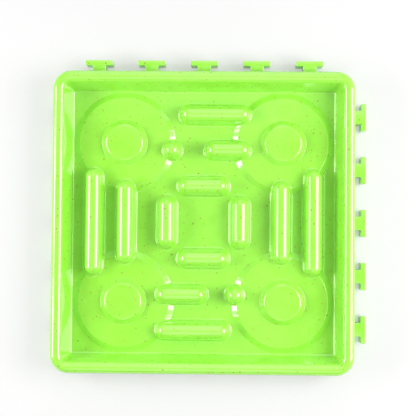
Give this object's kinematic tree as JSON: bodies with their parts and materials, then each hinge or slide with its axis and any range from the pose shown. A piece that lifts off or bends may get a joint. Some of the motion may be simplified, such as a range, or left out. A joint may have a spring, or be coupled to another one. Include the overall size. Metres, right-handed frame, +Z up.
{
  "type": "dog lick mat",
  "caption": "Square moulded dog lick mat with a rounded rim, raised discs, buttons, ribs and studs that hold soft food, and T lugs that hook into the next mat.",
  "frame": {"origin": "below the middle of the square tray, on the plane that the feet stand on", "axes": "+Z up out of the tray; +X towards the side with lugs that is on the right in the picture; +Y towards the side with lugs that is at the top of the picture"},
  "size_m": [0.2073, 0.2073, 0.02],
  "materials": {
    "moulding": "glossy lime-green plastic with fine brown and olive fibre specks",
    "feet": "matt pale grey rubber"
  },
  "bodies": {
    "root": {"floor_panel": "moulding", "floor_strip_east": "moulding", "floor_strip_west": "moulding", "rim_east": "moulding", "rim_north": "moulding", "rim_west": "moulding", "rim_south": "moulding", "corner_ne": "moulding", "corner_nw": "moulding", "corner_sw": "moulding", "corner_se": "moulding", "disc_ne": "moulding", "disc_nw": "moulding", "disc_sw": "moulding", "disc_se": "moulding", "button_ne": "moulding", "button_nw": "moulding", "button_sw": "moulding", "button_se": "moulding", "rib_west_outer": "moulding", "rib_west_inner": "moulding", "rib_east_outer": "moulding", "rib_east_inner": "moulding", "rib_north_outer": "moulding", "rib_north_inner": "moulding", "rib_south_outer": "moulding", "rib_south_inner": "moulding", "rib_centre_west": "moulding", "rib_centre_east": "moulding", "rib_centre_north": "moulding", "rib_centre_south": "moulding", "stud_north": "moulding", "stud_south": "moulding", "lug_east_1": "moulding", "lug_east_2": "moulding", "lug_east_3": "moulding", "lug_east_4": "moulding", "lug_east_5": "moulding", "lug_north_1": "moulding", "lug_north_2": "moulding", "lug_north_3": "moulding", "lug_north_4": "moulding", "lug_north_5": "moulding", "foot_ne": "feet", "foot_nw": "feet", "foot_sw": "feet", "foot_se": "feet"}
  },
  "joints": []
}
